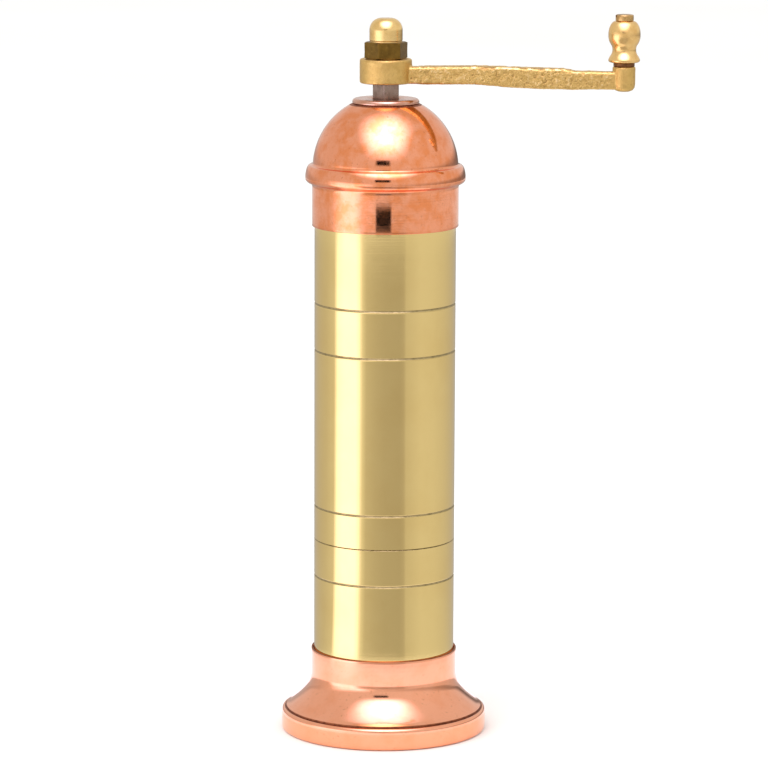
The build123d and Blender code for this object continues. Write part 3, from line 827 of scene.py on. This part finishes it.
# ------------------------------------------------------------------------------ stage
# The mill stands in a round tent that only its metal sees. Bands of light and shade, given as
# (degrees from the camera's direction, brightness), run up the tent from its floor.
NEAR_BANDS = ((-180, 1.35), (-90, 1.4), (-57, 1.75), (-20, 1.5), (20, 1.42), (60, 1.33),
              (180, 1.33))
TUBE_BANDS = ((-180, 0.2), (-166, 0.5), (-150, 0.6), (-110, 0.72), (-90, 0.85), (-82, 2.1),
              (-70, 2.4), (-48, 2.4), (-42, 1.85), (-37, 1.0), (-30, 0.72), (-15, 0.63), (0, 0.58),
              (24, 0.56), (31, 0.61), (34, 0.75), (60, 0.87), (85, 0.85), (110, 0.77), (150, 0.58),
              (166, 0.48), (180, 0.2))
CAP_BANDS = ((-180, 0.78), (-100, 0.85), (-85, 1.1), (-68, 2.3), (-50, 2.3), (-38, 1.25), (0, 1.1),
             (50, 0.95), (90, 0.95), (150, 0.9), (180, 0.85))
CRANK_BANDS = ((-180, 0.5), (-120, 0.65), (-90, 0.9), (-68, 2.1), (-38, 2.1), (-20, 1.15),
               (-12, 0.86), (10, 0.78), (60, 0.62), (100, 0.48), (130, 0.36), (160, 0.2),
               (180, 0.3))
PLAIN = ((-180, 0.8), (-100, 0.8), (-60, 0.86), (60, 0.92), (150, 0.82), (180, 0.8))
TENT = (
    # radius, height, bands
    (30, 0.3, NEAR_BANDS),
    (110, 0.3, NEAR_BANDS),
    (112, 0.3, TUBE_BANDS),
    (1250, 0.3, TUBE_BANDS),
    (1270, 0.3, CAP_BANDS),
    (1600, 0.3, CAP_BANDS),
    (1600, 20, CRANK_BANDS),
    (1600, 140, CRANK_BANDS),
    (1600, 300, PLAIN),
    (1500, 850, PLAIN),
    (1100, 1400, PLAIN),
    (400, 1800, PLAIN),
    (0, 1850, PLAIN),
)
GLARE_GREEN = 0.88         # of the red, in light over full white
GLARE_BLUE = 1.25
DARK_CARDS = (
    # distance from the mill's axis, left and right edge in degrees, bottom and top
    (95, -13, 8, 154.5, 163.8),
    (1280, -15, 7, 406, 588),
)


def band_level(bands, angle):
    """Brightness of the bands at an angle, in straight steps between their entries."""
    for (start, low), (end, high) in zip(bands, bands[1:]):
        if angle <= end:
            return low + (high - low) * (angle - start) / (end - start)
    return bands[-1][1]


def light_colour(level):
    """Warm in the shade; over full white it leans away from the yellow of the metals."""
    if level < 1:
        warmth = 0.93 + 0.07 * level
        return (level, level * warmth, level * warmth ** 2, 1)
    over = level - 1
    return (level, 1 + GLARE_GREEN * over, 1 + GLARE_BLUE * over, 1)


def glow(name, strength=None):
    """Emission of one brightness, or of the mesh's own glow attribute."""
    made = bpy.data.materials.new(name)
    made.use_nodes = True
    tree = made.node_tree
    tree.nodes.clear()
    emission = tree.nodes.new("ShaderNodeEmission")
    if strength is None:
        source = tree.nodes.new("ShaderNodeAttribute")
        source.attribute_name = "glow"
        tree.links.new(source.outputs["Color"], emission.inputs["Color"])
    else:
        emission.inputs["Strength"].default_value = strength
    output = tree.nodes.new("ShaderNodeOutputMaterial")
    tree.links.new(emission.outputs[0], output.inputs["Surface"])
    return made


def only_reflected(obj):
    """Leaves obj to the metal's reflections alone."""
    obj.visible_camera = False
    obj.visible_diffuse = False
    obj.visible_shadow = False
    obj.visible_transmission = False


def stage_point(angle, radius, height):
    """Point round the mill's axis, turned from the camera's direction."""
    turn = radians(CAMERA_TURN - 90 + angle)
    return (radius * cos(turn) * MM, radius * sin(turn) * MM, height * MM)


def make_tent():
    shape = bmesh.new()
    tint = shape.verts.layers.float_color.new("glow")
    segments = 180
    rings = []
    for radius, height, bands in TENT:
        ring = []
        for step in range(segments if radius else 1):
            angle = -180 + 360 * step / segments
            # a ring's radius counts from the line on the barrel that mirrors it
            reach = radius + TUBE_R * cos(radians(angle) / 2) if radius else 0
            vert = shape.verts.new(stage_point(angle, reach, height))
            vert[tint] = light_colour(band_level(bands, angle))
            ring.append(vert)
        rings.append(ring)
    for near, far in zip(rings, rings[1:]):
        for step in range(segments):
            after = step + 1
            corners = (near[step], near[after % segments], far[after % len(far)],
                       far[step % len(far)])
            shape.faces.new(dict.fromkeys(corners))
    tent = to_object("tent", shape)
    paint(tent, (glow("tent_glow"),))
    only_reflected(tent)


def make_dark_card(name, distance, start, end, low, high):
    """Dark upright card towards the camera, seen only in the metal."""
    shape = bmesh.new()
    steps = 6
    rows = []
    for height in (low, high):
        row = []
        for step in range(steps + 1):
            angle = start + (end - start) * step / steps
            row.append(shape.verts.new(stage_point(angle, distance, height)))
        rows.append(row)
    for step in range(steps):
        shape.faces.new((rows[0][step], rows[0][step + 1], rows[1][step + 1], rows[1][step]))
    card = to_object(name, shape)
    paint(card, (glow(name, 0.01),))
    only_reflected(card)


def aim(obj, turn, rise, distance, target):
    """Stands obj off from its target, turned from the camera's side, and looks at the target."""
    angle = radians(CAMERA_TURN - 90 + turn)
    away = Vector((cos(angle) * cos(radians(rise)), sin(angle) * cos(radians(rise)),
                   sin(radians(rise))))
    obj.location = Vector(target) + distance * away
    ahead = Vector(target) - obj.location
    obj.rotation_euler = ahead.to_track_quat("-Z", "Y").to_euler()


def make_softbox(name, rise, distance, width, height, strength):
    """Glowing sheet that fades out from its middle to its edges, seen only in the metal."""
    shape = bmesh.new()
    tint = shape.verts.layers.float_color.new("glow")
    bmesh.ops.create_grid(shape, x_segments=32, y_segments=32, size=0.5)
    for vert in shape.verts:
        fade = 1.0
        for along in (abs(vert.co.x) * 2, abs(vert.co.y) * 2):
            share = 1 - along
            fade *= share * share * (3 - 2 * share)
        level = strength * fade
        vert[tint] = (level, level * GLARE_GREEN, level * GLARE_BLUE, 1)
        vert.co = Vector((vert.co.x * width, vert.co.y * height, 0))
    sheet = to_object(name, shape)
    aim(sheet, 0, rise, distance, MIDDLE)
    material = glow(name + "_glow")
    paint(sheet, (material,))
    add_through(material)
    only_reflected(sheet)


def add_through(material):
    """Lets what is behind a glowing sheet show through it."""
    tree = material.node_tree
    emission = tree.nodes["Emission"]
    output = tree.nodes["Material Output"]
    clear = tree.nodes.new("ShaderNodeBsdfTransparent")
    both = tree.nodes.new("ShaderNodeAddShader")
    tree.links.new(emission.outputs[0], both.inputs[0])
    tree.links.new(clear.outputs[0], both.inputs[1])
    tree.links.new(both.outputs[0], output.inputs["Surface"])


def make_light(name, turn, rise, distance, size, power):
    lamp = bpy.data.lights.new(name, "AREA")
    lamp.size = size
    lamp.energy = power
    holder = bpy.data.objects.new(name, lamp)
    aim(holder, turn, rise, distance, MIDDLE)
    holder.visible_glossy = False
    bpy.context.scene.collection.objects.link(holder)


FLOOR_GAP = 0.0001         # metres between the mill and the floor


def make_floor():
    shape = bmesh.new()
    bmesh.ops.create_grid(shape, x_segments=8, y_segments=8, size=12)
    ground = to_object("floor", shape)
    ground.location.z = cad_box[0][2] - FLOOR_GAP
    made = bpy.data.materials.new("pale_floor")
    made.use_nodes = True
    tree = made.node_tree
    shader = tree.nodes["Principled BSDF"]
    shader.inputs["Roughness"].default_value = 0.85
    shader.inputs["Specular IOR Level"].default_value = 0.1
    where = tree.nodes.new("ShaderNodeTexCoord").outputs["Object"]
    cloud = noise_value(tree, where, 400, 2.0)
    tone = blend_colour(tree, spread(tree, cloud, 0, 1), (0.93, 0.93, 0.925),
                        (0.905, 0.905, 0.9))
    tree.links.new(tone, shader.inputs["Base Color"])
    paint(ground, (made,))


def make_world():
    world = bpy.data.worlds.new("studio")
    world.use_nodes = True
    background = world.node_tree.nodes["Background"]
    background.inputs["Color"].default_value = (1.0, 0.995, 0.985, 1)
    background.inputs["Strength"].default_value = 1.14
    world.cycles_visibility.glossy = False
    bpy.context.scene.world = world


def make_camera():
    camera = bpy.data.objects.new("camera", bpy.data.cameras.new("camera"))
    camera.data.lens = CAMERA_LENS
    camera.data.sensor_width = 36
    camera.data.clip_end = 50
    aim(camera, 0, CAMERA_RISE, CAMERA_DISTANCE, CAMERA_TARGET)
    camera.rotation_euler.rotate_axis("Z", radians(CAMERA_ROLL))
    camera.data.shift_x = CAMERA_SHIFT
    bpy.context.scene.collection.objects.link(camera)
    bpy.context.scene.camera = camera


make_foot()
make_tube("cup_tube", "grounds_cup", "cup")
make_tube("barrel", "barrel_tube", "barrel")
make_cap()
make_collar()
make_shaft()
make_nut()
make_crank()
make_knob()
make_knob_screw()
make_knob_washer()
make_adjusting_screw()
make_spring()
finish_frame_nodes()

make_floor()
make_world()
make_tent()
for number, card in enumerate(DARK_CARDS):
    make_dark_card(f"dark_card_{number}", *card)
make_softbox("top_softbox", rise=62, distance=0.9, width=1.4, height=1.75, strength=4.3)
make_light("key_light", turn=-35, rise=50, distance=1.6, size=1.2, power=9)
make_camera()
bpy.context.scene.view_settings.view_transform = "Standard"
